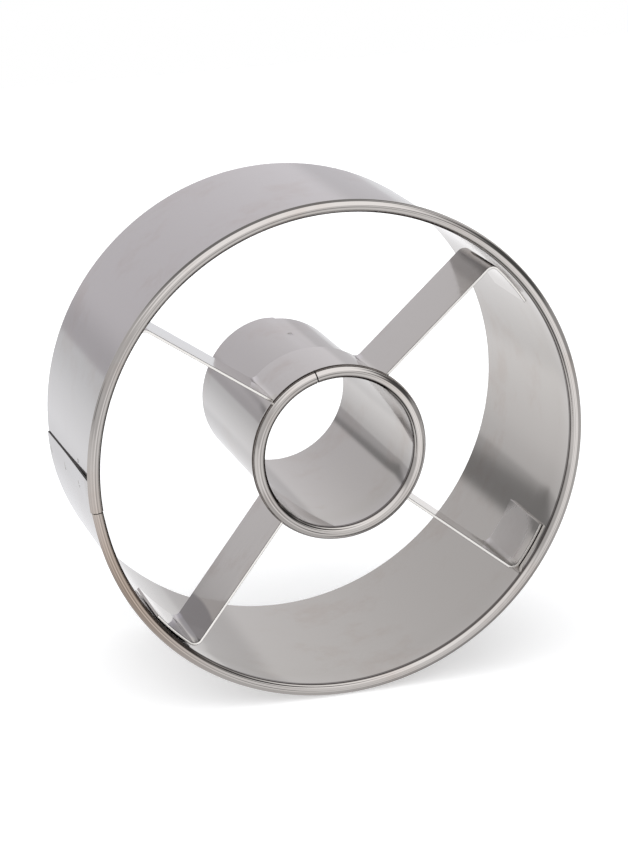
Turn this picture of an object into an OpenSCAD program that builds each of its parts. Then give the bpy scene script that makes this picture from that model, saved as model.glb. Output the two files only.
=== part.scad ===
// Doughnut cutter: two rolled sheet rings, held concentric by two bent strips on edge.
// The axis is Z. The cutting edges stand on Z = 0 and the rolled beads are on top.

/* [Outer ring] */
// Outside diameter of the ring's wall
ring_d = 90; // [70:1:120]
// Height of the ring, from the cutting edge to the top of the bead
ring_h = 43; // [38:0.5:60]
// Outside diameter of the ring's rolled bead
ring_bead_d = 2.4; // [1.8:0.1:3.6]
// Width of the lap seam along the wall
ring_lap = 7.5; // [5:0.5:12]
// Direction of the free edge of the lap, in degrees from +X
ring_lap_angle = 180; // [0:1:359]
// Distance along the wall from the lap's free edge to the joint in the bead
ring_joint = 2.4; // [1.5:0.1:4]

/* [Inner tube] */
// Outside diameter of the tube's wall, which cuts the hole
tube_d = 29; // [22:0.5:40]
// Height of the tube, from the cutting edge to the top of the bead
tube_h = 42.4; // [36:0.1:60]
// Outside diameter of the tube's rolled bead
tube_bead_d = 2.5; // [1.8:0.1:3.6]
// Width of the tube's lap seam along the wall
tube_lap = 5; // [3.5:0.5:8]
// Direction of the free edge of the tube's lap, in degrees from +X
tube_lap_angle = 85; // [0:1:359]
// Distance along the wall from the tube lap's free edge to the joint in its bead
tube_joint = 4.3; // [2:0.1:5]

/* [Sheet] */
// Thickness of the sheet that the ring and the tube are rolled from
sheet = 0.4; // [0.3:0.05:0.6]
// Gap between the ends of a bead
joint_gap = 0.4; // [0.2:0.05:0.8]

/* [Bridges] */
// Thickness of the bridge strips
strip = 0.5; // [0.4:0.05:0.8]
// Width of the bridge strips, along the axis
strip_w = 15; // [8:0.5:20]
// Radius of the bends, at the middle of the strip
bend_r = 1.5; // [1:0.1:2.5]
// Straight length of the welded tabs at the ends
tab_len = 8.5; // [6:0.5:14]
// Clearance between a welded face and its seat
weld_gap = 0.03; // [0.02:0.01:0.1]
// Direction of the middle of the lower bridge, in degrees from +X
lower_angle = 273; // [265:1:275]
// Turn from the middle of the upper bridge to each of its spokes, in degrees
upper_spoke_angle = 51.7; // [45:0.1:55]
// Turn from the middle of the lower bridge to each of its spokes, in degrees
lower_spoke_angle = 44.3; // [40:0.1:50]
// How far the upper left spoke runs past the axis, on the side of its bridge's middle
upper_left_lead = 2; // [0:0.1:4]
// How far the upper right spoke runs past the axis, on the side of its bridge's middle
upper_right_lead = 3.2; // [0:0.1:4]
// How far the lower left spoke runs past the axis, on the side of its bridge's middle
lower_left_lead = -0.9; // [-1.2:0.1:3]
// How far the lower right spoke runs past the axis, on the side of its bridge's middle
lower_right_lead = 0.1; // [-1.2:0.1:3]

/* [Weld marks] */
// Diameter of the mark that a spot weld leaves
weld_d = 1.8; // [1:0.1:3]
// Depth of the mark that a spot weld leaves
weld_depth = 0.08; // [0.04:0.01:0.12]
// Distance between the welds of the ring's lap
ring_weld_step = 12; // [8:0.5:16]
// Distance between the welds of the tube's lap
tube_weld_step = 11; // [8:0.5:16]
// Distance from the ring lap's free edge to its row of welds
ring_weld_in = 3.2; // [2:0.1:4.5]
// Distance from the tube lap's free edge to its row of welds
tube_weld_in = 1.4; // [1.2:0.1:2.5]

/* [Hidden] */
$fn = 160;

// Direction of the middle of the upper bridge
upper_angle = 90;
// Turn from the middle of the ring's lap to where its outer layer is back in the wall's circle
ring_run_in_angle = 38;
// Turn from the middle of the tube's lap to where its outer layer is back in the wall's circle
tube_run_in_angle = 66;
// Where the slit under a bead starts, as a direction seen in its section
slit_angle = -120;
// Length of the tucked tongue that shows in the ring's bead joint
tongue_len = 1.2;
// Room between the tongue and the bead that it is tucked into
tongue_gap = 0.05;
// Turn from a bridge's middle within which the tube's lap lies under its wrap
wrap_reach_angle = 90;
// Place of the weld along each half of a wrap
wrap_weld_share = 0.65;
// Place of the weld along a tab
tab_weld_share = 0.5;
// Room between the trimmed end of a lap's outer layer and the bead over it
bead_room = 0.1;
// Turn of one facet of a bridge's wrap, and of one facet of its bends
wrap_facet_angle = 3;
bend_facet_angle = 6;
// Turn by which a cut runs on where the metal beside it is already gone
overrun_angle = 1;
// Top and bottom edges of the bridge strips
strip_top = min(ring_h - ring_bead_d, tube_h - tube_bead_d) - weld_gap;
strip_bottom = strip_top - strip_w;

// Unit vector at a direction in the XY plane
function unit(angle) = [cos(angle), sin(angle)];

// Turn that a length makes along a circle
function turn_of(length, radius) = length / radius * 180 / PI;

// Least turn between two directions
function turn_between(a, b) = abs(((a - b) % 360 + 540) % 360 - 180);

// Part of a ring about Z, from its section in the half plane X > 0
module sweep(from, turn) {
    rotate([0, 0, from])
        rotate_extrude(angle = turn)
            children();
}

// Wedge of the XY plane between two directions, less than 180 degrees apart
module wedge(from, to, reach) {
    polygon([
        [0, 0],
        reach * unit(from),
        reach * unit((from + to) / 2) / cos((to - from) / 4),
        reach * unit(to)
    ]);
}

// Section of the wall and the bead that it curls into, open at the slit under the bead
module curled_section(radius, height, bead_d) {
    bead_r = bead_d / 2;
    cut_r = bead_d;
    translate([radius + bead_r, height - bead_r])
        difference() {
            circle(r = bead_r);
            circle(r = bead_r - sheet);
            polygon([
                [0, 0],
                cut_r * unit(slit_angle),
                cut_r * [-1, -1],
                cut_r * [-1, 0]
            ]);
        }
    translate([radius, 0])
        square([sheet, height - bead_r]);
}

// Shallow round mark, pressed in from outside at a direction and height
module weld_mark(radius, angle, height) {
    ball_r = (weld_d * weld_d / 4 + weld_depth * weld_depth) / (2 * weld_depth);
    rotate([0, 0, angle])
        translate([radius + ball_r - weld_depth, 0, height])
            sphere(r = ball_r);
}

// Rolled ring: wall, welded lap and bead, all of one strip.
// The outer layer of the lap is part of a circle off the axis, which runs back into the wall's own.
module rolled_ring(d, h, bead_d, lap, lap_angle, joint, run_in) {
    outer_r = d / 2;
    lap_turn = turn_of(lap, outer_r);
    lap_end = lap_angle + lap_turn;
    lap_middle = lap_angle + lap_turn / 2;
    joint_angle = lap_angle + turn_of(joint, outer_r);
    offset_r = sheet / (1 - cos(run_in));
    layer_r = outer_r + sheet - offset_r;

    difference() {
        union() {
            rotate_extrude()
                curled_section(outer_r - sheet, h, bead_d);
            // Outer layer of the lap, which meets the bead past the joint
            linear_extrude(h - bead_d + sheet)
                difference() {
                    intersection() {
                        translate(offset_r * unit(lap_middle))
                            circle(r = layer_r);
                        wedge(lap_angle, lap_angle + 90, d);
                    }
                    circle(r = outer_r - sheet / 2);
                }
        }
        // Joint in the bead
        translate([0, 0, h - bead_d])
            rotate([0, 0, joint_angle])
                translate([outer_r - 2 * sheet, -joint_gap / 2, 0])
                    cube([2 * bead_d, joint_gap, 2 * bead_d]);
        // The free end of the outer layer is trimmed to pass under the bead
        translate([0, 0, h - bead_d - bead_room])
            linear_extrude(sheet + bead_room + sheet)
                difference() {
                    wedge(lap_angle - overrun_angle, joint_angle, d);
                    circle(r = outer_r);
                }
        // Inside of the outer layer, past the end of the inner one
        translate([0, 0, -h])
            linear_extrude(2 * h - bead_d - sheet)
                intersection() {
                    translate(offset_r * unit(lap_middle))
                        circle(r = layer_r - sheet);
                    wedge(lap_end, lap_end + 90, d);
                }
    }
}

module outer_ring() {
    bead_r = ring_bead_d / 2;
    bead_circle = ring_d / 2 - sheet + bead_r;
    joint_angle = ring_lap_angle + turn_of(ring_joint, ring_d / 2);
    gap_turn = turn_of(joint_gap, ring_d / 2);
    tongue_turn = turn_of(tongue_len, ring_d / 2);
    weld_angle = ring_lap_angle + turn_of(ring_weld_in, ring_d / 2);
    weld_rows = floor((ring_h - ring_bead_d - 2 * weld_d) / ring_weld_step);
    color("silver")
        difference() {
            union() {
                rolled_ring(ring_d, ring_h, ring_bead_d, ring_lap, ring_lap_angle, ring_joint,
                    ring_run_in_angle);
                // Plug in the bead's lower end, and the tongue on it that is tucked into the other end
                sweep(joint_angle + gap_turn, tongue_turn)
                    translate([bead_circle, ring_h - bead_r])
                        circle(r = bead_r - sheet / 2);
                sweep(joint_angle - tongue_turn, 2 * tongue_turn)
                    translate([bead_circle, ring_h - bead_r])
                        circle(r = bead_r - sheet - tongue_gap);
            }
            for (row = [0 : weld_rows])
                weld_mark(ring_d / 2 + sheet, weld_angle, weld_d + row * ring_weld_step);
        }
}

module inner_tube() {
    weld_angle = tube_lap_angle + turn_of(tube_weld_in, tube_d / 2);
    weld_rows = floor((tube_h - tube_bead_d - 2 * weld_d) / tube_weld_step);
    color("silver")
        difference() {
            rolled_ring(tube_d, tube_h, tube_bead_d, tube_lap, tube_lap_angle, tube_joint, tube_run_in_angle);
            for (row = [0 : weld_rows])
                weld_mark(tube_d / 2 + sheet, weld_angle, weld_d + row * tube_weld_step);
        }
}

// Radius that the wrap of a bridge seats on: the tube's wall, or its lap if that lies under the wrap
function seat_radius(middle) =
    tube_d / 2 + (turn_between(middle, tube_lap_angle) < wrap_reach_angle ? sheet : 0);

// Turn of a bend that leads from a wrap into a spoke which passes the axis by lead
function bend_turn(wrap_r, lead) = acos((bend_r + lead) / (wrap_r + bend_r));

// Stations of a strip's middle line along an arc, each with its place and heading.
// The side is 1 for an arc that turns left on its way, and -1 for one that turns right.
function arc_stations(centre, radius, from, to, side, facet) =
    let (steps = ceil(abs(to - from) / facet))
    [for (i = [0 : steps])
        let (angle = from + (to - from) * i / steps)
        [centre + radius * unit(angle), angle + 90 * side]];

// Stations of one half of a bridge, from the middle of its wrap at +X to the end of its tab.
// The strip leaves the wrap in a bend, runs out past the axis by lead, and turns on to the ring's wall.
function half_stations(wrap_r, turn, lead) =
    let (
        inner_turn = bend_turn(wrap_r, lead),
        wrap_turn = turn - 90 + inner_turn,
        // Outer bend, inside the ring's wall
        wall_r = ring_d / 2 - sheet - weld_gap,
        bend_outer_r = bend_r + strip / 2,
        bend_reach = wall_r - bend_outer_r,
        bend_side = bend_r - lead,
        bend_along = sqrt(bend_reach * bend_reach - bend_side * bend_side),
        bend_centre = bend_along * unit(turn) + bend_side * unit(turn + 90),
        // Turn that brings the far outer corner of the tab to the wall
        corner_r = sqrt(bend_outer_r * bend_outer_r + tab_len * tab_len),
        tab_turn = 90 + atan2(bend_side, bend_along) + atan2(bend_outer_r, tab_len)
            + asin((tab_len * tab_len / (2 * bend_reach) - bend_outer_r) / corner_r),
        tab_heading = turn + tab_turn
    )
    concat(
        arc_stations([0, 0], wrap_r, 0, wrap_turn, 1, wrap_facet_angle),
        arc_stations((wrap_r + bend_r) * unit(wrap_turn), bend_r, wrap_turn + 180, turn + 90, -1,
            bend_facet_angle),
        arc_stations(bend_centre, bend_r, turn - 90, turn - 90 + tab_turn, 1, bend_facet_angle),
        [[bend_centre - bend_r * unit(tab_heading + 90) + tab_len * unit(tab_heading), tab_heading]]
    );

// The same stations seen in a mirror across the X axis and walked the other way
function mirrored(stations) =
    [for (i = [len(stations) - 1 : -1 : 1])
        [[stations[i][0][0], -stations[i][0][1]], 180 - stations[i][1]]];

// Edge of a strip, to one side of its stations
function side_points(stations, offset) =
    [for (station = stations) station[0] + offset * unit(station[1] + 90)];

// Round marks of the two welds on one half of a bridge
module half_marks(wrap_r, turn, lead, stations) {
    ends = [stations[len(stations) - 2], stations[len(stations) - 1]];
    tab_middle = ends[0][0] + (ends[1][0] - ends[0][0]) * tab_weld_share;
    wrap_turn = turn - 90 + bend_turn(wrap_r, lead);
    weld_mark(wrap_r + strip / 2, wrap_turn * wrap_weld_share, strip_w / 2);
    translate(tab_middle)
        weld_mark(strip / 2, ends[1][1] + 90, strip_w / 2);
}

// Bridge: one strip on edge, bent out of a wrap round the tube into two spokes with end tabs
module bridge(middle, turn, ccw_lead, cw_lead) {
    wrap_r = seat_radius(middle) + weld_gap + strip / 2;
    ccw_half = half_stations(wrap_r, turn, ccw_lead);
    cw_half = half_stations(wrap_r, turn, cw_lead);
    stations = concat(mirrored(cw_half), ccw_half);
    left_side = side_points(stations, strip / 2);
    right_side = side_points(stations, -strip / 2);
    color("gainsboro")
        translate([0, 0, strip_bottom])
            rotate([0, 0, middle])
                difference() {
                    linear_extrude(strip_w)
                        polygon(concat(right_side, [for (i = [len(stations) - 1 : -1 : 0]) left_side[i]]));
                    half_marks(wrap_r, turn, ccw_lead, ccw_half);
                    mirror([0, 1, 0])
                        half_marks(wrap_r, turn, cw_lead, cw_half);
                }
}

module upper_bridge() {
    bridge(upper_angle, upper_spoke_angle, upper_left_lead, upper_right_lead);
}

module lower_bridge() {
    bridge(lower_angle, lower_spoke_angle, lower_right_lead, lower_left_lead);
}

outer_ring();
inner_tube();
upper_bridge();
lower_bridge();
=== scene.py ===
"""Doughnut cutter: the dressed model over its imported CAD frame, and the studio that it stands in.

Lengths in the classes are in millimetres, in the row frame: Z is the axis of both rings, their cutting
edges lie in Z = 0 and their rolled beads are on top. Directions are in degrees from +X, and turns run
counter-clockwise, seen from the beads. Meshes and objects are in metres.
"""

import logging
from dataclasses import dataclass
from enum import Enum
from math import acos, atan2, ceil, cos, degrees, exp, hypot, radians, sin, sqrt
from typing import Callable, Optional, Union

import bpy
from mathutils import Matrix, Vector


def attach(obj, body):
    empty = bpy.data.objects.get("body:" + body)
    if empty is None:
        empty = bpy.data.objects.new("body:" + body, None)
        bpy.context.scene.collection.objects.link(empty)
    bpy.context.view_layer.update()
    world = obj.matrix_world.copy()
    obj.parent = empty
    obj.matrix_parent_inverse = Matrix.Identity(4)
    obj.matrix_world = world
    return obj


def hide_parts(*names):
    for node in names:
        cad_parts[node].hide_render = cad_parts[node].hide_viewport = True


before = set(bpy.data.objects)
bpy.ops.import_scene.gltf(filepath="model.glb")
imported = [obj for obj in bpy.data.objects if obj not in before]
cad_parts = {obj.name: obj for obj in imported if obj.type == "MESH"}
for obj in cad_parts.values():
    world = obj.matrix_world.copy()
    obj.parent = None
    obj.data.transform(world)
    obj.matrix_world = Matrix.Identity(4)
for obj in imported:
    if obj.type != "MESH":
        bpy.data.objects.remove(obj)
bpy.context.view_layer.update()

log = logging.getLogger("doughnut_cutter")

MM = 0.001
BODY = "root"
# Faces that meet at less than this angle are shaded as one surface.
SMOOTH_BELOW = 35.0

Piece = bpy.types.Object
Material = bpy.types.Material
Tree = bpy.types.NodeTree
Node = bpy.types.Node
Socket = bpy.types.NodeSocket
Point = tuple[float, float]
Place = tuple[float, float, float]
Section = list[Point]

NOWHERE: Place = (0.0, 0.0, 1000.0)

# The Mix node has sockets of the same names for numbers and for colours, so they are picked by index.
FIRST_LEVEL, SECOND_LEVEL, MIXED_LEVEL = 2, 3, 0
FIRST_COLOUR, SECOND_COLOUR, MIXED_COLOUR = 6, 7, 2
SMOOTHLY = {"interpolation_type": "SMOOTHSTEP"}


class Layer(Enum):
    """Which part of a rolled strip a stretch of it is."""

    FREE_END = "free end of the lap's outer layer, trimmed to pass under the bead"
    BEADED = "the strip with its bead"
    TUCKED_END = "end of the lap's inner layer"


class Surface(Enum):
    """Material index of each kind of face."""

    SATIN = 0
    # Cut faces, darkened as painted shade.
    SHEARED = 1
    # The strips' top edge, brightened as a painted highlight.
    SLIT = 2


class RayKind(Enum):
    """Outputs of the Light Path node that tell what looks at the floor and the room."""

    CAMERA = "Is Camera Ray"
    GLOSSY = "Is Glossy Ray"
    TRANSMISSION = "Is Transmission Ray"


class Along(Enum):
    """Directions that the room's light is laid out by."""

    HEIGHT = "up from the floor"
    ACROSS = "to the right of the picture, level with the floor"
    BEHIND = "away from the camera, level with the floor"
    LEANING = "across, and less so the higher it points"
    AXIS = "along the rings' axis, from their beads to their cutting edges"
    FRONT_CARD = "at the bright card beside the camera"
    RIGHT_PATCH = "at the right one of two dimmer patches beyond the cutting edges"
    LEFT_PATCH = "at the left one of them"


def unit(angle: float) -> Vector:
    """Unit vector at a direction in the XY plane."""
    return Vector((cos(radians(angle)), sin(radians(angle)), 0.0))


def smooth(value: float) -> float:
    """Smooth step from 0 to 1 over the same range."""
    share = min(max(value, 0.0), 1.0)
    return share * share * (3.0 - 2.0 * share)


def linear_colour(code: str) -> tuple[float, float, float, float]:
    """Turns an sRGB hex colour into linear red, green and blue, with an alpha of 1."""
    digits = code.lstrip("#")
    channels = [int(digits[i : i + 2], 16) / 255.0 for i in (0, 2, 4)]
    linear = [c / 12.92 if c <= 0.04045 else ((c + 0.055) / 1.055) ** 2.4 for c in channels]
    return (linear[0], linear[1], linear[2], 1.0)


def add_node(tree: Tree, kind: str, settings: Optional[dict[str, object]] = None,
             inputs: Optional[dict[Union[str, int], object]] = None) -> Node:
    """Adds one node with its settings and its inputs.

    Args:
        tree: Node tree that gets the node.
        kind: Blender's name of the node's type.
        settings: Attributes of the node by name.
        inputs: Values or output sockets by the input's name or index.

    Returns:
        The new node.
    """
    node = tree.nodes.new(kind)
    for name, value in (settings or {}).items():
        setattr(node, name, value)
    for name, value in (inputs or {}).items():
        if isinstance(value, Socket):
            tree.links.new(value, node.inputs[name])
        else:
            node.inputs[name].default_value = value
    return node


def empty_tree(owner: bpy.types.ID) -> Tree:
    """Clears the nodes of a material or a world, and returns its tree."""
    owner.use_nodes = True
    owner.node_tree.nodes.clear()
    return owner.node_tree


def deselect() -> None:
    if bpy.context.object and bpy.context.object.mode != "OBJECT":
        bpy.ops.object.mode_set(mode="OBJECT")
    bpy.ops.object.select_all(action="DESELECT")


def activate(piece: Piece) -> None:
    """Selects one object alone and makes it active."""
    deselect()
    piece.select_set(True)
    bpy.context.view_layer.objects.active = piece


def join(name: str, pieces: list[Piece]) -> Piece:
    """Joins meshes into the first of them, under a new name."""
    activate(pieces[0])
    for piece in pieces[1:]:
        piece.select_set(True)
    bpy.ops.object.join()
    joined = bpy.context.object
    joined.name = name
    joined.data.name = name
    return joined


def apply_modifier(piece: Piece, kind: str, settings: dict[str, object]) -> None:
    """Adds a modifier with its settings to the active piece, and applies it."""
    modifier = piece.modifiers.new(kind.lower(), kind)
    for name, value in settings.items():
        setattr(modifier, name, value)
    bpy.ops.object.modifier_apply(modifier=modifier.name)


def cap_end(piece: Piece, direction: float) -> None:
    """Closes one end of a spun section with a face.

    Args:
        piece: The spun object, in object mode.
        direction: Direction in which that end lies.
    """
    within = 1e-7
    side, outward = unit(direction + 90.0), unit(direction)
    cap = {v.index for v in piece.data.vertices if abs(v.co.dot(side)) < within and v.co.dot(outward) > 0}
    bpy.ops.object.mode_set(mode="EDIT")
    bpy.ops.mesh.select_all(action="DESELECT")
    bpy.ops.object.mode_set(mode="OBJECT")
    for edge in piece.data.edges:
        edge.select = all(index in cap for index in edge.vertices)
    bpy.ops.object.mode_set(mode="EDIT")
    bpy.ops.mesh.edge_face_add()
    bpy.ops.object.mode_set(mode="OBJECT")


def spin_section(name: str, section: Section, start: float, sweep: float, steps: int) -> Piece:
    """Spins a closed section about Z into a solid with capped ends.

    Blender's operator turns clockwise for a positive angle.

    Args:
        name: Name of the new object.
        section: Outline as radius and height.
        start: Direction in which the section starts.
        sweep: Turn of the spin.
        steps: Steps of the spin.

    Returns:
        The new object, with its place in its mesh.
    """
    deselect()
    bpy.ops.mesh.primitive_circle_add(vertices=len(section), radius=MM, fill_type="NOTHING")
    piece = bpy.context.object
    piece.name = name
    for vertex, (radius, height) in zip(piece.data.vertices, section):
        vertex.co = (unit(start) * radius + Vector((0.0, 0.0, height))) * MM
    bpy.ops.object.mode_set(mode="EDIT")
    bpy.ops.mesh.select_all(action="SELECT")
    bpy.ops.mesh.spin(steps=steps, angle=-radians(sweep), center=(0.0, 0.0, 0.0), axis=(0.0, 0.0, 1.0))
    bpy.ops.mesh.select_mode(type="EDGE")
    bpy.ops.object.mode_set(mode="OBJECT")
    for direction in (start, start + sweep):
        cap_end(piece, direction)
    bpy.ops.object.mode_set(mode="EDIT")
    bpy.ops.mesh.select_all(action="SELECT")
    bpy.ops.mesh.normals_make_consistent(inside=False)
    bpy.ops.object.mode_set(mode="OBJECT")
    return piece


def lay_out(piece: Piece, flatten: Callable[[Vector], Point]) -> None:
    """Gives a piece a UV map, by a function from a point to lengths along and across its strip."""
    layer = piece.data.uv_layers.new(name="strip")
    for loop in piece.data.loops:
        point = piece.data.vertices[loop.vertex_index].co / MM
        layer.data[loop.index].uv = flatten(point)


def shade_smooth(piece: Piece) -> None:
    """Shades a piece smooth, apart from its real edges."""
    activate(piece)
    bpy.ops.object.shade_smooth_by_angle(angle=radians(SMOOTH_BELOW))


def hand_over(piece: Piece, node: str) -> Piece:
    """Lets a finished piece stand for its CAD node, on that node's body."""
    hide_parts(node)
    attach(piece, BODY)
    return piece


@dataclass(frozen=True)
class SpotWeld:
    """Mark of a spot weld on a round wall: its direction, its height and its size."""

    radius: float
    angle: float
    height: float
    diameter: float = 1.7
    depth: float = 0.18

    @property
    def place(self) -> Vector:
        """Middle of the mark."""
        return unit(self.angle) * self.radius + Vector((0.0, 0.0, self.height))


@dataclass(frozen=True)
class SheetNodes:
    """Sockets that a sheet's colour, gloss and relief read.

    They give a point and its height, the noise of the rolling lines, and how far the sheet was worked.
    """

    tree: Tree
    point: Socket
    height: Socket
    lines: Socket
    worked: Socket


@dataclass(frozen=True)
class SatinSteel:
    """Stainless sheet, cold rolled to a satin finish.

    The rollers leave fine lines along the strip, so the gloss is a little uneven across it and reflections
    blur along it, and handling leaves faint brownish stains. Above a height the sheet was worked harder, as
    in the bead: its lines are deeper there, it is glossier, and heat or wear may have left a tint. On the
    strips the same tint is a painted dark reflection, and the crease inside the bead gets painted shade.
    """

    name: str
    steel: str = "#C6C3C1"
    stain: str = "#B7AAA2"
    roughness: float = 0.10
    roughness_spread: float = 0.03
    # Real rolling lines are about 0.03 mm apart. They are drawn coarser, so that they show as a faint grain.
    line_spacing: float = 0.35
    line_slimness: float = 0.03
    line_depth: float = 0.0006
    # Range of the lines' noise over which the gloss changes.
    line_range: Point = (0.3, 0.7)
    # Sheet this thin is never quite flat.
    wave_length: float = 16.0
    wave_depth: float = 0.010
    # Stains cover the peaks of a noise with this size, and hide the steel by the last share at most.
    stain_size: float = 14.0
    stain_peaks: Point = (0.50, 0.72)
    stain_share: float = 0.30
    worked_from: float = 1000.0
    worked_blend: float = 0.4
    worked_line_depth: float = 0.0035
    worked_roughness: float = -0.05
    # The crease inside the bead gets painted shade, a darker colour: how far beyond its radius it fades, and
    # how far up it starts.
    crease_shade: str = "#6B6663"
    crease_radius: float = 0.0
    crease_blend: Point = (0.30, 0.10)
    crease_rise: Point = (0.55, 0.85)
    # A tint fades out at its reach and is full in its core, a share of that. Its rise flattens it. On the
    # strips the tint is a painted dark reflection of the ring's wall.
    tint: str = "#B5A598"
    tint_and_painted_reflection_at: Place = NOWHERE
    tint_reach: float = 30.0
    tint_core: float = 0.0
    tint_rise: float = 1.0
    tint_share: float = 0.9
    # A scuffed patch is rougher than the rest.
    scuff_at: Place = NOWHERE
    scuff_reach: float = 9.0
    scuff_core: float = 0.5
    scuff_roughness: float = 0.30
    # The dent of a weld rises from its flat middle to its rim between these shares of its diameter.
    dent_shares: Point = (0.2, 0.5)
    welds: tuple[SpotWeld, ...] = ()

    def material(self) -> Material:
        """Builds the steel with its rolling lines, its slight waves, its stains and its weld marks."""
        steel = bpy.data.materials.new(self.name)
        tree = empty_tree(steel)
        place = add_node(tree, "ShaderNodeTexCoord")
        strip = add_node(tree, "ShaderNodeMapping", inputs={
            "Vector": place.outputs["UV"],
            "Scale": (self.line_slimness / self.line_spacing, 1.0 / self.line_spacing, 1.0)})
        lines = add_node(tree, "ShaderNodeTexNoise", {"noise_dimensions": "2D"}, {
            "Vector": strip.outputs["Vector"], "Scale": 1.0, "Detail": 3.0, "Roughness": 0.6})
        apart = add_node(tree, "ShaderNodeSeparateXYZ", inputs={"Vector": place.outputs["Object"]})
        worked = add_node(tree, "ShaderNodeMapRange", SMOOTHLY, {
            "Value": apart.outputs["Z"], "From Min": self.worked_from * MM,
            "From Max": (self.worked_from + self.worked_blend) * MM})
        sheet = SheetNodes(tree, place.outputs["Object"], apart.outputs["Z"], lines.outputs["Fac"],
                           worked.outputs["Result"])
        surface = add_node(tree, "ShaderNodeBsdfPrincipled", inputs={
            "Base Color": self.colour(sheet), "Metallic": 1.0, "Roughness": self.gloss(sheet),
            "Normal": self.relief(sheet)})
        add_node(tree, "ShaderNodeOutputMaterial", inputs={"Surface": surface.outputs["BSDF"]})
        return steel

    def colour(self, sheet: SheetNodes) -> Socket:
        """Colours the steel, its stains, its tint and the painted shade in the crease inside its bead.

        Args:
            sheet: What the material's parts read.

        Returns:
            Socket with the colour.
        """
        tree = sheet.tree
        stains = add_node(tree, "ShaderNodeTexNoise", inputs={
            "Vector": sheet.point, "Scale": 1.0 / (self.stain_size * MM), "Detail": 4.0, "Roughness": 0.65})
        stained = add_node(tree, "ShaderNodeMapRange", SMOOTHLY, {
            "Value": stains.outputs["Fac"], "From Min": self.stain_peaks[0], "From Max": self.stain_peaks[1],
            "To Min": 0.0, "To Max": self.stain_share})
        squeezed = add_node(tree, "ShaderNodeVectorMath", {"operation": "MULTIPLY"}, {
            0: sheet.point, 1: (1.0, 1.0, self.tint_rise)})
        away = add_node(tree, "ShaderNodeVectorMath", {"operation": "DISTANCE"}, {
            0: squeezed.outputs["Vector"],
            1: (self.tint_and_painted_reflection_at[0] * MM, self.tint_and_painted_reflection_at[1] * MM, self.tint_and_painted_reflection_at[2] * self.tint_rise * MM)})
        near = add_node(tree, "ShaderNodeMapRange", SMOOTHLY, {
            "Value": away.outputs["Value"], "From Min": self.tint_reach * MM,
            "From Max": self.tint_reach * self.tint_core * MM, "To Min": 0.0, "To Max": self.tint_share})
        tint_and_painted_reflection = add_node(tree, "ShaderNodeMath", {"operation": "MULTIPLY"}, {
            0: near.outputs["Result"], 1: sheet.worked})
        flat = add_node(tree, "ShaderNodeVectorMath", {"operation": "MULTIPLY"}, {
            0: sheet.point, 1: (1.0, 1.0, 0.0)})
        radius = add_node(tree, "ShaderNodeVectorMath", {"operation": "LENGTH"}, {0: flat.outputs["Vector"]})
        # Painted shade where the inner wall runs into the bead.
        inside = add_node(tree, "ShaderNodeMapRange", SMOOTHLY, {
            "Value": radius.outputs["Value"], "From Min": (self.crease_radius + self.crease_blend[0]) * MM,
            "From Max": (self.crease_radius + self.crease_blend[1]) * MM})
        above = add_node(tree, "ShaderNodeMapRange", SMOOTHLY, {
            "Value": sheet.height, "From Min": (self.worked_from + self.crease_rise[0]) * MM,
            "From Max": (self.worked_from + self.crease_rise[1]) * MM})
        crease_shaded = add_node(tree, "ShaderNodeMath", {"operation": "MULTIPLY"}, {
            0: inside.outputs["Result"], 1: above.outputs["Result"]})
        colour = linear_colour(self.steel)
        # On the strips the tint is a painted dark reflection, and the crease's colour is painted shade.
        for share, other in ((stained.outputs["Result"], self.stain), (tint_and_painted_reflection.outputs["Value"], self.tint),
                             (crease_shaded.outputs["Value"], self.crease_shade)):
            mixed = add_node(tree, "ShaderNodeMix", {"data_type": "RGBA"}, {
                "Factor": share, FIRST_COLOUR: colour, SECOND_COLOUR: linear_colour(other)})
            colour = mixed.outputs[MIXED_COLOUR]
        return colour

    def gloss(self, sheet: SheetNodes) -> Socket:
        """Sets the roughness, which follows the rolling lines and rises in the scuffed patch.

        Args:
            sheet: What the material's parts read.

        Returns:
            Socket with the roughness.
        """
        tree = sheet.tree
        rolled = add_node(tree, "ShaderNodeMapRange", inputs={
            "Value": sheet.lines, "From Min": self.line_range[0], "From Max": self.line_range[1],
            "To Min": self.roughness - self.roughness_spread,
            "To Max": self.roughness + self.roughness_spread})
        polished = add_node(tree, "ShaderNodeMath", {"operation": "MULTIPLY_ADD"}, {
            0: sheet.worked, 1: self.worked_roughness, 2: rolled.outputs["Result"]})
        away = add_node(tree, "ShaderNodeVectorMath", {"operation": "DISTANCE"}, {
            0: sheet.point, 1: tuple(value * MM for value in self.scuff_at)})
        scuffed = add_node(tree, "ShaderNodeMapRange", SMOOTHLY, {
            "Value": away.outputs["Value"], "From Min": self.scuff_reach * MM,
            "From Max": self.scuff_reach * self.scuff_core * MM, "To Min": 0.0,
            "To Max": self.scuff_roughness})
        dulled = add_node(tree, "ShaderNodeMath", {"operation": "ADD"}, {
            0: polished.outputs["Value"], 1: scuffed.outputs["Result"]})
        return dulled.outputs["Value"]

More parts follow.
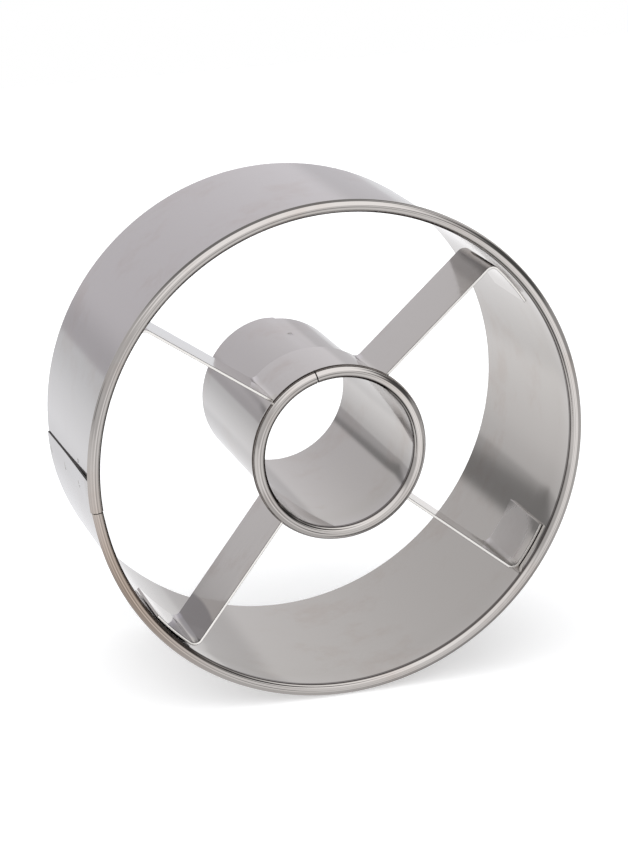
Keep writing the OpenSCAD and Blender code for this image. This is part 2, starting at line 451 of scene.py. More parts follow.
    def relief(self, sheet: SheetNodes) -> Socket:
        """Shapes the rolling lines, the waves of the sheet and the round dent of each weld.

        Args:
            sheet: What the material's parts read.

        Returns:
            Socket with the normal.
        """
        tree = sheet.tree
        depth = add_node(tree, "ShaderNodeMath", {"operation": "MULTIPLY_ADD"}, {
            0: sheet.worked, 1: (self.worked_line_depth - self.line_depth) * MM, 2: self.line_depth * MM})
        rolled = add_node(tree, "ShaderNodeBump", inputs={
            "Strength": 1.0, "Distance": depth.outputs["Value"], "Height": sheet.lines})
        waves = add_node(tree, "ShaderNodeTexNoise", inputs={
            "Vector": sheet.point, "Scale": 1.0 / (self.wave_length * MM), "Detail": 1.0})
        shape = add_node(tree, "ShaderNodeBump", inputs={
            "Strength": 1.0, "Distance": self.wave_depth * MM, "Height": waves.outputs["Fac"],
            "Normal": rolled.outputs["Normal"]})
        for weld in self.welds:
            away = add_node(tree, "ShaderNodeVectorMath", {"operation": "DISTANCE"}, {
                0: sheet.point, 1: tuple(value * MM for value in weld.place)})
            dent = add_node(tree, "ShaderNodeMapRange", SMOOTHLY, {
                "Value": away.outputs["Value"], "From Min": weld.diameter * MM * self.dent_shares[0],
                "From Max": weld.diameter * MM * self.dent_shares[1]})
            shape = add_node(tree, "ShaderNodeBump", inputs={
                "Strength": 1.0, "Distance": weld.depth * MM, "Height": dent.outputs["Result"],
                "Normal": shape.outputs["Normal"]})
        return shape.outputs["Normal"]


@dataclass(frozen=True)
class CutEdge:
    """Narrow face of the sheet where it was cut, which is duller than its rolled faces."""

    # Its steel colour paints light: darker for painted shade, near white for a painted highlight.
    name: str
    steel: str
    roughness: float

    def material(self) -> Material:
        """Returns the plain metal, and builds it where it is first used."""
        metal = bpy.data.materials.get(self.name)
        if metal is None:
            metal = bpy.data.materials.new(self.name)
            tree = empty_tree(metal)
            surface = add_node(tree, "ShaderNodeBsdfPrincipled", inputs={
                "Base Color": linear_colour(self.steel), "Metallic": 1.0, "Roughness": self.roughness})
            add_node(tree, "ShaderNodeOutputMaterial", inputs={"Surface": surface.outputs["BSDF"]})
        return metal


# Sheared ends are torn and dull. The dark colour on them and on the strips' roundings is painted shade: the
# shadow in the lap, in the joint and beside the strips' edges. Slitting leaves the strips' top edge clean,
# and its near-white colour is a painted highlight.
PAINTED_SHADE_EDGE = CutEdge("sheared_edge", steel="#353230", roughness=0.4)
PAINTED_HIGHLIGHT_EDGE = CutEdge("slit_edge", steel="#F4F3F1", roughness=0.25)


@dataclass
class RolledRing:
    """A ring of one strip: its wall, its lap and the bead curled from its top edge.

    The strip starts at the free edge of the lap's outer layer and ends inside, at the end of the inner
    layer. Turns are counted from that free edge.
    """

    name: str
    node: str
    slot: str
    diameter: float
    height: float
    bead: float
    lap: float
    lap_angle: float
    joint: float
    finish: SatinSteel
    # The turn over which the strip runs from the lap's outer layer down to the ring's own circle.
    run_in: float = 34.0
    sheet: float = 0.4
    lap_gap: float = 0.03
    joint_gap: float = 0.22
    slit_angle: float = -120.0
    # The bead keeps this much inside its nominal size, and the rollers left slight flats round it.
    bead_trim: float = 0.02
    flats: int = 9
    flat_depth: float = 0.08
    edge_round: float = 0.08
    wall_rows: int = 9
    outer_facet: float = 5.0
    inner_facet: float = 15.0
    # Under the bead the lap's free edge springs off the wall, and near the cutting edge it is pressed on.
    lift: float = 0.0
    lift_reach: float = 6.0
    lift_from: float = 0.25
    press: float = 0.0
    askew: float = 0.0
    # The bead's lower end narrows toward the joint, and a stub of its curl is tucked into the other end.
    narrowing: float = 0.0
    narrow_reach: float = 50.0
    tongue: float = 1.2
    tongue_share: float = 0.8
    tongue_facet: float = 15.0
    tongue_steps: int = 6
    steps: int = 320

    @property
    def inner_r(self) -> float:
        """Inner radius of the wall."""
        return self.diameter / 2.0 - self.sheet

    @property
    def under_bead(self) -> float:
        """Height of the bead's underside."""
        return self.height - self.bead

    def turn_of(self, length: float) -> float:
        """Turn that a length makes along the wall."""
        return degrees(length / (self.diameter / 2.0))

    def roll_in(self, turn: float) -> float:
        """How far out of the wall's own circle the strip lies at a turn."""
        past_lap = turn - self.turn_of(self.lap)
        return (self.sheet + self.lap_gap) * (1.0 - smooth(past_lap / self.run_in))

    def give(self, height: float) -> float:
        """Share of the spiral's offset that is left at a height: none at the bead, which keeps its circle."""
        return 1.0 - smooth((height - self.under_bead + self.bead) / self.bead)

    def lifted(self, turn: float, height: float) -> float:
        """How far the free edge of the outer layer springs away from the wall."""
        near_edge = exp(-((turn / self.turn_of(self.lift_reach) * 2.0) ** 2))
        near_bead = smooth((height / self.height - self.lift_from) / (1.0 - self.lift_from))
        return (self.lift * near_bead - self.press * (1.0 - near_bead)) * near_edge

    def wall_levels(self, top: float) -> list[float]:
        """Heights of the wall's rows of points, from above the cutting edge to its top."""
        rows = self.wall_rows
        return [self.edge_round + (top - self.edge_round) * row / rows for row in range(rows + 1)]

    def cutting_edge(self) -> Section:
        """Flat of the cutting edge between its rounded corners, from the outside in."""
        return [(self.inner_r + self.sheet - self.edge_round, 0.0), (self.inner_r + self.edge_round, 0.0)]

    def beaded_section(self) -> Section:
        """Outline of the wall and the bead that it curls into, open at the slit under the bead."""
        bead_r = self.bead / 2.0
        middle = (self.inner_r + bead_r, self.height - bead_r)
        levels = self.wall_levels(middle[1])
        inside = [(self.inner_r, level) for level in levels[:-1]]
        curled = 180.0 - self.slit_angle
        outer_curl = [self.on_curl(middle, self.rolled_radius(180.0 - turn), 180.0 - turn)
                      for turn in self.turns(curled, self.outer_facet)]
        inner_curl = [self.on_curl(middle, bead_r - self.sheet, 180.0 - turn)
                      for turn in reversed(self.turns(curled, self.inner_facet))]
        outside = [(self.inner_r + self.sheet, level) for level in reversed(levels[:-1])]
        return inside + outer_curl + inner_curl + outside + self.cutting_edge()

    def plain_section(self, top: float) -> Section:
        """Outline of the wall alone, up to a height."""
        levels = self.wall_levels(top)
        inside = [(self.inner_r, level) for level in levels]
        outside = [(self.inner_r + self.sheet, level) for level in reversed(levels)]
        return inside + outside + self.cutting_edge()

    def turns(self, whole: float, facet: float) -> list[float]:
        """Turns from 0 to the whole, in equal steps of about one facet."""
        count = round(whole / facet)
        return [whole * step / count for step in range(count + 1)]

    def rolled_radius(self, angle: float) -> float:
        """Radius of the bead's outside, which the rollers left in slight flats."""
        dip = (1.0 - cos(radians(angle * self.flats))) / 2.0
        return self.bead / 2.0 - self.bead_trim - self.flat_depth * dip

    def on_curl(self, middle: Point, radius: float, angle: float) -> Point:
        """Point of the curl's section at an angle round its middle."""
        return (middle[0] + radius * cos(radians(angle)), middle[1] + radius * sin(radians(angle)))

    def stretch(self, layer: Layer) -> tuple[Section, float, float]:
        """Section, first turn and last turn of one part of the strip."""
        joint_turn = self.turn_of(self.joint)
        half_gap = self.turn_of(self.joint_gap) / 2.0
        bead_start, bead_end = joint_turn + half_gap, joint_turn + 360.0 - half_gap
        if layer is Layer.FREE_END:
            return self.plain_section(self.under_bead - self.lap_gap), 0.0, bead_start
        if layer is Layer.BEADED:
            return self.beaded_section(), bead_start, bead_end
        return self.plain_section(self.under_bead), bead_end, self.turn_of(self.lap) + 360.0

    def rolled(self, point: Vector, turn: float, layer: Layer) -> Vector:
        """Moves a point of a spun section to where the rolled strip has it.

        Args:
            point: Point of the spun section.
            turn: Its turn along the strip.
            layer: Part of the strip that it belongs to.

        Returns:
            Place in the ring.
        """
        out = self.roll_in(turn) * self.give(point.z) + self.lifted(turn, point.z)
        askew = self.askew * point.z / self.height * max(0.0, 1.0 - turn / self.turn_of(self.joint))
        turned = Matrix.Rotation(radians(-askew), 3, "Z") @ point
        outward = Vector((turned.x, turned.y, 0.0)).normalized()
        if layer is not Layer.BEADED:
            return turned + outward * out
        slack = self.narrowing * smooth(1.0 - (turn - self.turn_of(self.joint)) / self.narrow_reach)
        curled = max(0.0, hypot(point.x, point.y) - self.inner_r)
        raised = max(0.0, point.z - (self.height - self.bead / 2.0))
        return turned + outward * (out - slack * curled) - Vector((0.0, 0.0, slack * raised))

    def turn_at(self, point: Vector, first: float, last: float) -> float:
        """Turn of a point along the strip, in a stretch of it that has a first and a last turn."""
        angle = degrees(atan2(point.y, point.x)) - self.lap_angle
        middle = (first + last) / 2.0
        return middle + (angle - middle + 180.0) % 360.0 - 180.0

    def build_layer(self, layer: Layer) -> Piece:
        """Spins one part of the strip and rolls it onto its spiral."""
        section, first, last = self.stretch(layer)
        steps = max(4, ceil(self.steps * (last - first) / 360.0))
        piece = spin_section(f"{self.name}_{layer.name.lower()}", section, self.lap_angle + first,
                             last - first, steps)
        for vertex in piece.data.vertices:
            point = vertex.co / MM
            vertex.co = self.rolled(point, self.turn_at(point, first, last), layer) * MM
        lay_out(piece, lambda point: (radians(self.turn_at(point, first, last)) * self.diameter / 2.0,
                                      point.z + hypot(point.x, point.y)))
        return piece

    def build_tongue(self) -> Piece:
        """Builds the stub of the bead's lower end that is tucked into the other end."""
        narrow_r = self.bead / 2.0 * (1.0 - self.narrowing)
        middle = (self.inner_r + narrow_r, self.height - self.bead / 2.0)
        outline = [self.on_curl(middle, self.tongue_share * narrow_r, turn)
                   for turn in self.turns(360.0 - self.tongue_facet, self.tongue_facet)]
        reach = self.turn_of(self.tongue)
        start = self.lap_angle + self.turn_of(self.joint) - reach
        tongue = spin_section(f"{self.name}_tongue", outline, start, 2.0 * reach, self.tongue_steps)
        lay_out(tongue, lambda point: (point.x, point.z))
        return tongue

    def mark_sheared(self, part: Piece) -> None:
        """Marks the strip's end faces, which are the ones with many corners, and all of the tongue."""
        # The marked faces are darkened as painted shade: the shadow in the lap and in the joint.
        for face in part.data.polygons:
            painted_shade = len(face.vertices) > 4 or part.name.endswith("_tongue")
            face.material_index = Surface.SHEARED.value if painted_shade else Surface.SATIN.value

    def build(self) -> Piece:
        """Builds the ring and lets it stand for its CAD node."""
        satin, painted_shade = self.finish.material(), PAINTED_SHADE_EDGE.material()
        parts = [self.build_layer(layer) for layer in Layer] + [self.build_tongue()]
        for part in parts:
            part.data.materials.append(satin)
            part.data.materials.append(painted_shade)
            self.mark_sheared(part)
        ring = join(self.name, parts)
        shade_smooth(ring)
        return hand_over(ring, self.node)


@dataclass(frozen=True)
class BridgeHalf:
    """One spoke of a bridge, from the middle of the wrap to the end of its tab.

    The spoke passes the axis at a distance, its lead, on the side of the wrap's middle. The tab may stand
    off the ring's wall by an inset.
    """

    lead: float
    tab: float = 8.5
    inset: float = 0.0


@dataclass
class Bridge:
    """A strip on edge, bent out of a wrap round the tube into two spokes with welded end tabs."""

    name: str
    node: str
    slot: str
    middle: float
    turn: float
    wrap_r: float
    left: BridgeHalf
    right: BridgeHalf
    finish: SatinSteel
    top: float = 39.87
    width: float = 15.0
    strip: float = 0.5
    bend_r: float = 1.5
    ring_inner_r: float = 44.57
    edge_round: float = 0.09
    edge_segments: int = 3
    sharp_above: float = 60.0
    rows: int = 5
    # Steps along the strip: turns in degrees, and the length of one in the straight run.
    wrap_step: float = 2.0
    bend_step: float = 6.0
    run_step: float = 1.5
    tab_step: float = 1.0
    # Faces that point up more than the first are the flat top edge, which gets a painted highlight, and the
    # rest of what points up more than the second or down more than the third is rounded or turned away, and
    # gets painted shade.
    top_facing: float = 0.95
    rounded_facing: float = 0.2
    under_facing: float = 0.3

    def arc(self, centre: Vector, radius: float, start: float, end: float, facet: float) -> list[Vector]:
        """Points of an arc between two directions from its centre, with both ends."""
        count = max(1, ceil(abs(end - start) / facet))
        return [centre + unit(start + (end - start) * step / count) * radius for step in range(count + 1)]

    def straight(self, start: Vector, end: Vector) -> list[Vector]:
        """Points between the ends of a straight run, without the ends themselves."""
        count = max(1, ceil((end - start).length / self.run_step))
        return [start.lerp(end, step / count) for step in range(1, count)]

    def half_line(self, half: BridgeHalf) -> list[Vector]:
        """Points of one half, from the wrap's middle at +X to the end of the tab."""
        wrap_r, bend_r, turn, lead = self.wrap_r, self.bend_r, self.turn, half.lead
        axis = Vector((0.0, 0.0, 0.0))
        inner_turn = degrees(acos((bend_r + lead) / (wrap_r + bend_r)))
        wrap_turn = turn - 90.0 + inner_turn
        bend_outer_r = bend_r + self.strip / 2.0
        bend_reach = self.ring_inner_r - bend_outer_r - half.inset
        bend_side = bend_r - lead
        bend_along = sqrt(bend_reach**2 - bend_side**2)
        bend_centre = unit(turn) * bend_along + unit(turn + 90.0) * bend_side
        touch = turn + degrees(atan2(bend_side, bend_along))
        tab_r = self.ring_inner_r - self.strip / 2.0 - half.inset
        wrap = self.arc(axis, wrap_r, 0.0, wrap_turn, self.wrap_step)
        inner = self.arc(
            unit(wrap_turn) * (wrap_r + bend_r), bend_r, wrap_turn + 180.0, turn + 90.0, self.bend_step)
        outer = self.arc(bend_centre, bend_r, turn - 90.0, touch, self.bend_step)
        spoke = self.straight(inner[-1], outer[0])
        tab = self.arc(axis, tab_r, touch, touch + degrees(half.tab / tab_r), self.tab_step)
        return wrap + inner[1:] + spoke + outer + tab[1:]

    def line(self) -> list[Vector]:
        """Points of the whole strip, from the right tab over the wrap to the left tab."""
        right = [Vector((point.x, -point.y, 0.0)) for point in reversed(self.half_line(self.right))]
        turn = Matrix.Rotation(radians(self.middle), 4, "Z")
        return [turn @ point for point in right[:-1] + self.half_line(self.left)]

    def lay_strip(self, places: list[Vector]) -> Piece:
        """Lays a grid along the strip's middle line and gives it the strip's UV map.

        Args:
            places: Points of the middle line.

        Returns:
            The strip, without its thickness.
        """
        lengths = [0.0]
        for a, b in zip(places, places[1:]):
            lengths.append(lengths[-1] + (b - a).length)
        deselect()
        bpy.ops.mesh.primitive_grid_add(x_subdivisions=len(places) - 1, y_subdivisions=self.rows, size=2.0)
        piece = bpy.context.object
        piece.name = self.name
        along = []
        for vertex in piece.data.vertices:
            step = round((vertex.co.x + 1.0) / 2.0 * (len(places) - 1))
            share = (vertex.co.y + 1.0) / 2.0
            height = self.top - self.width * (1.0 - share)
            vertex.co = Vector((places[step].x, places[step].y, height)) * MM
            along.append((lengths[step], height))
        layer = piece.data.uv_layers.active or piece.data.uv_layers.new(name="strip")
        for loop in piece.data.loops:
            layer.data[loop.index].uv = along[loop.vertex_index]
        return piece

    def thicken(self, piece: Piece) -> None:
        """Gives the strip its thickness and its rounded edges."""
        activate(piece)
        apply_modifier(piece, "SOLIDIFY", {
            "thickness": self.strip * MM, "offset": 0.0, "use_even_offset": True})
        apply_modifier(piece, "BEVEL", {
            "width": self.edge_round * MM, "segments": self.edge_segments, "limit_method": "ANGLE",
            "angle_limit": radians(self.sharp_above)})
        shade_smooth(piece)
        apply_modifier(piece, "WEIGHTED_NORMAL", {"keep_sharp": True})

    def dress(self, piece: Piece) -> None:
        """Gives the faces steel, the top edge a painted highlight and the other edges painted shade."""
        piece.data.materials.clear()
        for finish in (self.finish, PAINTED_SHADE_EDGE, PAINTED_HIGHLIGHT_EDGE):
            piece.data.materials.append(finish.material())
        for face in piece.data.polygons:
            up = face.normal.z
            if up > self.top_facing:
                face.material_index = Surface.SLIT.value
            elif self.rounded_facing < up < self.top_facing or up < -self.under_facing:
                face.material_index = Surface.SHEARED.value
            else:
                face.material_index = Surface.SATIN.value

    def build(self) -> Piece:
        """Builds the strip and lets it stand for its CAD node."""
        piece = self.lay_strip(self.line())
        self.thicken(piece)
        self.dress(piece)
        return hand_over(piece, self.node)


@dataclass(frozen=True)
class Fade:
    """Smooth change of the room's light from low to high, between two cosines to a direction."""

    along: Along
    start: float
    end: float
    low: float = 0.0
    high: float = 1.0


Fades = tuple[Fade, ...]
Cosines = dict[Along, Socket]


def lit_by(tree: Tree, cosines: Cosines, fades: Fades, *others: Socket) -> Socket:
    """Multiplies the fades of one part of the room with what else changes its light.

    Args:
        tree: Node tree of the world.
        cosines: Sockets with the cosines to the directions.
        fades: The part's own fades.
        others: Sockets with further shares.

    Returns:
        Socket with the product.
    """
    shares = [add_node(tree, "ShaderNodeMapRange", SMOOTHLY, {
        "Value": cosines[fade.along], "From Min": fade.start, "From Max": fade.end, "To Min": fade.low,
        "To Max": fade.high}).outputs["Result"] for fade in fades]
    product, *rest = [*shares, *others]
    for share in rest:
        product = add_node(tree, "ShaderNodeMath", {"operation": "MULTIPLY"}, {
            0: product, 1: share}).outputs["Value"]
    return product


@dataclass
class Studio:
    """White floor, soft light and the camera.

    In the photograph the cutter lies on its side, so the floor is a plane that touches the bead and the
    cutting edge from below, and its upright leans out of the row's XY plane.
    """

    upright: Place = (0.0750, 0.9960, 0.0477)
    contact: Place = (-3.37, -44.87, 0.0)
    floor_size: float = 900.0
    floor_white: str = "#F0F2F4"
    floor_glow: float = 0.38

    camera_at: Place = (-134.36, 167.79, 497.66)
    camera_aim: Place = (1.36, -1.90, 21.0)
    camera_up: Place = (0.1757, 0.9422, -0.2854)
    focal_px: float = 2783.1
    frame_width_px: float = 628.0
    sensor: float = 36.0
    nearest: float = 10.0

    lamp_toward: Place = (-0.12, 1.0, -0.30)
    lamp_aim: Place = (0.0, 0.0, 21.0)
    lamp_distance: float = 600.0
    lamp_size: float = 900.0
    lamp_power: float = 2.0

    # Where the room's further directions point, and how much the leaning one loses with height.
    front_card_at: Place = (0.26, -0.32, 0.91)
    right_patch_at: Place = (0.416, -0.073, -0.906)
    left_patch_at: Place = (-0.037, -0.421, -0.906)
    lean: float = -0.6

    # The walls, and what the ceiling makes of them behind and in front.
    walls: Fades = (Fade(Along.ACROSS, -0.75, 0.10, 0.72, 0.86), Fade(Along.ACROSS, 0.60, 0.88, 1.0, 0.6))
    in_front: Fades = (Fade(Along.BEHIND, 0.15, -0.15),)
    rear_ceiling: Fades = (Fade(Along.HEIGHT, 0.45, 0.62, 1.0, 0.40),)
    front_ceiling: Fades = (Fade(Along.HEIGHT, 0.35, 0.55, 1.0, 1.8),)
    # What is dark in them: a corner at left, a skirting beside it and an opening at right.
    corner: Fades = (
        Fade(Along.LEANING, -0.655, -0.692, 0.0, 0.78), Fade(Along.HEIGHT, 0.105, 0.055),
        Fade(Along.BEHIND, 0.1, 0.4))
    skirting: Fades = (
        Fade(Along.ACROSS, -0.45, -0.62, 0.0, 0.29), Fade(Along.HEIGHT, 0.06, -0.06),
        Fade(Along.BEHIND, 0.1, 0.4))
    opening: Fades = (
        Fade(Along.ACROSS, 0.55, 0.70), Fade(Along.HEIGHT, 0.06, 0.18), Fade(Along.HEIGHT, 0.54, 0.40))
    dark_share: float = 0.22
    # The white board on the floor, which starts below the horizon and is dimmer near the corner.
    below_horizon: Fades = (Fade(Along.HEIGHT, -0.09, -0.11),)
    board: Fades = (
        Fade(Along.ACROSS, -0.65, -0.05, 0.98, 1.19), Fade(Along.HEIGHT, -0.12, -0.25, 0.90, 1.0),
        Fade(Along.HEIGHT, -0.50, -0.72, 1.0, 0.62), Fade(Along.ACROSS, 0.28, 0.55, 1.0, 0.6))
    near_corner: Fades = (
        Fade(Along.ACROSS, -0.45, -0.62), Fade(Along.HEIGHT, -0.45, -0.12), Fade(Along.BEHIND, 0.1, 0.4))
    near_share: float = 0.87
    # What lies over all of it: the far side, the bright card and the two dimmer patches.
    overlays: Fades = (
        Fade(Along.AXIS, 0.87, 0.95, 0.88, 1.0), Fade(Along.FRONT_CARD, 0.90, 0.97, 1.0, 1.45),
        Fade(Along.RIGHT_PATCH, 0.966, 0.985, 1.0, 0.80), Fade(Along.LEFT_PATCH, 0.966, 0.988, 1.0, 0.86))
    far_side: Fades = (Fade(Along.AXIS, 0.88, 0.94),)
    far_tint: str = "#FFFDFC"
    wall_tint: str = "#FCF9FF"
    board_tint: str = "#FAFBFF"

    def floor(self) -> None:
        """Lays the white floor, which only shows from above."""
        deselect()
        bpy.ops.mesh.primitive_plane_add(size=self.floor_size * MM)
        floor = bpy.context.object
        floor.name = "studio_floor"
        upright = Vector(self.upright).normalized()
        turn = Vector((0.0, 0.0, 1.0)).rotation_difference(upright).to_matrix().to_4x4()
        floor.data.transform(Matrix.Translation(Vector(self.contact) * MM) @ turn)
        floor.data.materials.append(self.floor_material())

    def floor_material(self) -> Material:
        """White board that keeps the cutter's shadow. The steel shows the world's own board instead."""
        board = bpy.data.materials.new("white_board")
        tree = empty_tree(board)
        matte = add_node(tree, "ShaderNodeBsdfDiffuse", inputs={"Color": linear_colour(self.floor_white)})
        path = add_node(tree, "ShaderNodeLightPath")
        lit = add_node(tree, "ShaderNodeMath", {"operation": "MULTIPLY"}, {
            0: path.outputs[RayKind.CAMERA.value], 1: self.floor_glow})
        glow = add_node(tree, "ShaderNodeEmission", inputs={"Strength": lit.outputs["Value"]})
        both = add_node(tree, "ShaderNodeAddShader", inputs={
            0: matte.outputs["BSDF"], 1: glow.outputs["Emission"]})
        clear = add_node(tree, "ShaderNodeBsdfTransparent")
        side = add_node(tree, "ShaderNodeNewGeometry")
        hidden = side.outputs["Backfacing"]
        for kind in (RayKind.GLOSSY, RayKind.TRANSMISSION):
            hidden = add_node(tree, "ShaderNodeMath", {"operation": "MAXIMUM"}, {
                0: hidden, 1: path.outputs[kind.value]}).outputs["Value"]
        shown = add_node(tree, "ShaderNodeMixShader", inputs={
            0: hidden, 1: both.outputs["Shader"], 2: clear.outputs["BSDF"]})
        add_node(tree, "ShaderNodeOutputMaterial", inputs={"Surface": shown.outputs["Shader"]})
        return board

    def world(self) -> None:
        """Lights the room: white where the camera looks, and a pale studio in what the steel reflects."""
        world = bpy.data.worlds.new("studio")
        bpy.context.scene.world = world
        tree = empty_tree(world)
        path = add_node(tree, "ShaderNodeLightPath")
        room = add_node(tree, "ShaderNodeBackground", inputs={
            "Color": self.room_colour(tree), "Strength": 1.0})
        white = add_node(tree, "ShaderNodeBackground", inputs={
            "Color": (1.0, 1.0, 1.0, 1.0), "Strength": 1.0})
        shown = add_node(tree, "ShaderNodeMixShader", inputs={
            0: path.outputs[RayKind.CAMERA.value], 1: room.outputs["Background"],
            2: white.outputs["Background"]})
        add_node(tree, "ShaderNodeOutputWorld", inputs={"Surface": shown.outputs["Shader"]})

    def cosines(self, tree: Tree, direction: Socket) -> Cosines:
        """Measures a ray against the directions that the room is laid out by.

        Args:
            tree: Node tree of the world.
            direction: Socket with the ray's direction.

        Returns:
            Sockets with the cosines to those directions.
        """
        upright = Vector(self.upright).normalized()
        back = Vector(self.camera_at) - Vector(self.camera_aim)
        back = (back - upright * back.dot(upright)).normalized()
        axes = {
            Along.HEIGHT: upright, Along.ACROSS: upright.cross(back), Along.BEHIND: -back,
            Along.AXIS: Vector((0.0, 0.0, -1.0)), Along.FRONT_CARD: Vector(self.front_card_at),
            Along.RIGHT_PATCH: Vector(self.right_patch_at), Along.LEFT_PATCH: Vector(self.left_patch_at)}
        found = {along: add_node(tree, "ShaderNodeVectorMath", {"operation": "DOT_PRODUCT"}, {
            0: direction, 1: tuple(axis.normalized())}).outputs["Value"] for along, axis in axes.items()}
        found[Along.LEANING] = add_node(tree, "ShaderNodeMath", {"operation": "MULTIPLY_ADD"}, {
            0: found[Along.HEIGHT], 1: self.lean, 2: found[Along.ACROSS]}).outputs["Value"]
        return found

    def room_light(self, tree: Tree, cosines: Cosines, below: Socket) -> Socket:
        """Brightness of the room by direction: walls over the white board, and what is darker in them.

        Args:
            tree: Node tree of the world.
            cosines: Sockets with the cosines to the directions.
            below: Socket that is 1 below the horizon.

        Returns:
            Socket with the brightness.
        """
        ceiling = add_node(tree, "ShaderNodeMix", {"data_type": "FLOAT"}, {
            "Factor": lit_by(tree, cosines, self.in_front),
            FIRST_LEVEL: lit_by(tree, cosines, self.rear_ceiling),
            SECOND_LEVEL: lit_by(tree, cosines, self.front_ceiling)})
        darkest = lit_by(tree, cosines, self.corner)
        for part in (self.opening, self.skirting):
            darkest = add_node(tree, "ShaderNodeMath", {"operation": "MAXIMUM"}, {
                0: darkest, 1: lit_by(tree, cosines, part)}).outputs["Value"]
        kept = add_node(tree, "ShaderNodeMapRange", inputs={
            "Value": darkest, "To Min": 1.0, "To Max": self.dark_share})
        nearby = add_node(tree, "ShaderNodeMapRange", inputs={
            "Value": lit_by(tree, cosines, self.near_corner), "To Min": 1.0, "To Max": self.near_share})
        above = lit_by(tree, cosines, self.walls, ceiling.outputs[MIXED_LEVEL], kept.outputs["Result"])
        level = add_node(tree, "ShaderNodeMix", {"data_type": "FLOAT"}, {
            "Factor": below, FIRST_LEVEL: above,
            SECOND_LEVEL: lit_by(tree, cosines, self.board, nearby.outputs["Result"])})
        return lit_by(tree, cosines, self.overlays, level.outputs[MIXED_LEVEL])

    def room_colour(self, tree: Tree) -> Socket:
        """Colour of the room by direction: its brightness in the slight tints of its parts."""
        place = add_node(tree, "ShaderNodeTexCoord")
        cosines = self.cosines(tree, place.outputs["Generated"])
        below = lit_by(tree, cosines, self.below_horizon)
        near = add_node(tree, "ShaderNodeMix", {"data_type": "RGBA"}, {
            "Factor": below, FIRST_COLOUR: linear_colour(self.wall_tint),
            SECOND_COLOUR: linear_colour(self.board_tint)})
        tint = add_node(tree, "ShaderNodeMix", {"data_type": "RGBA"}, {
            "Factor": lit_by(tree, cosines, self.far_side), FIRST_COLOUR: linear_colour(self.far_tint),
            SECOND_COLOUR: near.outputs[MIXED_COLOUR]})
        colour = add_node(tree, "ShaderNodeVectorMath", {"operation": "SCALE"}, {
            0: tint.outputs[MIXED_COLOUR], "Scale": self.room_light(tree, cosines, below)})
        return colour.outputs["Vector"]

    def camera(self) -> None:
        """Sets up the camera of the photograph."""
        forward = (Vector(self.camera_aim) - Vector(self.camera_at)).normalized()
        right = forward.cross(Vector(self.camera_up)).normalized()
        up = right.cross(forward)
        turn = Matrix((right, up, -forward)).transposed().to_4x4()
        data = bpy.data.cameras.new("camera")
        data.sensor_fit = "HORIZONTAL"
        data.sensor_width = self.sensor
        data.lens = self.focal_px / self.frame_width_px * self.sensor
        data.clip_start = self.nearest * MM
        camera = bpy.data.objects.new("camera", data)
        camera.matrix_world = Matrix.Translation(Vector(self.camera_at) * MM) @ turn
        bpy.context.scene.collection.objects.link(camera)
        bpy.context.scene.camera = camera

    def lamp(self) -> None:
        """Hangs a square soft box over the cutter, which casts its shadow and doesn't show in the steel."""
        away = Vector(self.lamp_toward).normalized()
        data = bpy.data.lights.new("top_soft_box", "AREA")
        data.shape = "SQUARE"
        data.size = self.lamp_size * MM
        data.energy = self.lamp_power
        lamp = bpy.data.objects.new("top_soft_box", data)
        turn = away.to_track_quat("Z", "Y").to_matrix().to_4x4()
        place = Vector(self.lamp_aim) + away * self.lamp_distance
        lamp.matrix_world = Matrix.Translation(place * MM) @ turn
        lamp.visible_glossy = False
        bpy.context.scene.collection.objects.link(lamp)

    def build(self) -> None:
        """Builds the camera, the floor, the world and the lamp."""
        self.camera()
        self.floor()
        self.world()
        self.lamp()
        bpy.context.scene.view_settings.view_transform = "Standard"


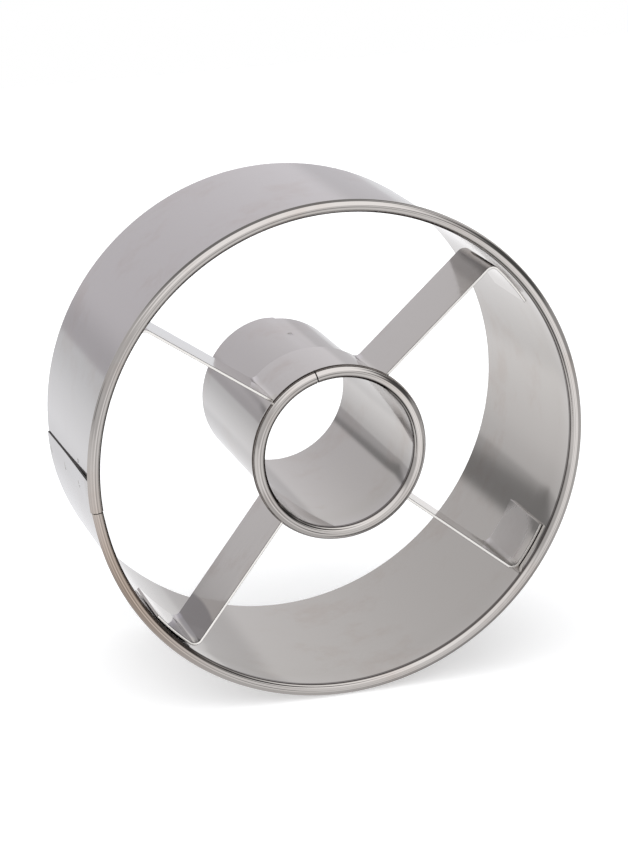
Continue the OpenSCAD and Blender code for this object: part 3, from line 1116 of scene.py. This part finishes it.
def cutter_pieces() -> list[Union[RolledRing, Bridge]]:
    """The four sheet-metal pieces of the cutter, with their finishes."""
    ring_steel = SatinSteel(
        "ring_satin_steel", worked_from=40.8, crease_radius=44.6, tint_and_painted_reflection_at=(-42.0, -18.0, 42.0), welds=(
            SpotWeld(45.4, 184.0, 1.8), SpotWeld(45.4, 183.5, 14.0), SpotWeld(45.4, 183.0, 26.0),
            SpotWeld(45.0, 177.5, 25.5, diameter=0.9)))
    tube_steel = SatinSteel(
        "tube_satin_steel", worked_from=40.1, crease_radius=14.1, welds=(
            SpotWeld(14.9, 86.5, 12.6), SpotWeld(14.9, 115.8, 29.7, diameter=1.2, depth=0.07)))
    # The strips have no bead. Their upper half is darker in a band beside the lower left bend, a painted dark
    # reflection of the ring's wall, and scuffed at the lower right tab.
    strip_steel = SatinSteel(
        "strip_satin_steel", steel="#CFCCCA", roughness=0.08, worked_from=22.0, worked_line_depth=0.0006,
        worked_roughness=0.0, tint="#A09EA1", tint_and_painted_reflection_at=(-27.1, -30.8, 31.5), tint_reach=3.6, tint_core=0.8,
        tint_rise=0.25, scuff_at=(35.0, -27.0, 31.0))
    ring = RolledRing(
        name="rolled_outer_ring", node="outer_ring", slot="ring_steel", finish=ring_steel, diameter=90.0,
        height=43.0, bead=2.4, lap=7.5, lap_angle=180.0, joint=2.4, lift=0.2, press=0.2, askew=1.7,
        narrowing=0.13)
    tube = RolledRing(
        name="rolled_inner_tube", node="inner_tube", slot="tube_steel", finish=tube_steel, diameter=29.0,
        height=42.4, bead=2.5, lap=5.0, lap_angle=85.0, joint=4.3, run_in=60.0, steps=200, lift_reach=3.0,
        press=0.2)
    upper = Bridge(
        name="upper_bent_strip", node="upper_bridge", slot="strip_steel", finish=strip_steel, middle=90.0,
        turn=51.7, wrap_r=15.18, left=BridgeHalf(lead=2.0), right=BridgeHalf(lead=3.2, inset=0.4))
    lower = Bridge(
        name="lower_bent_strip", node="lower_bridge", slot="strip_steel", finish=strip_steel, middle=273.0,
        turn=44.3, wrap_r=14.78, left=BridgeHalf(lead=0.1), right=BridgeHalf(lead=-0.9))
    return [ring, tube, upper, lower]


def main() -> None:
    """Builds the studio and the cutter, in order."""
    Studio().build()
    for piece in cutter_pieces():
        built = piece.build()
        log.info("%s: %d faces, for node %s", built.name, len(built.data.polygons), piece.node)


if __name__ == "__main__":
    logging.basicConfig(level=logging.INFO, format="%(name)s: %(message)s")
    main()
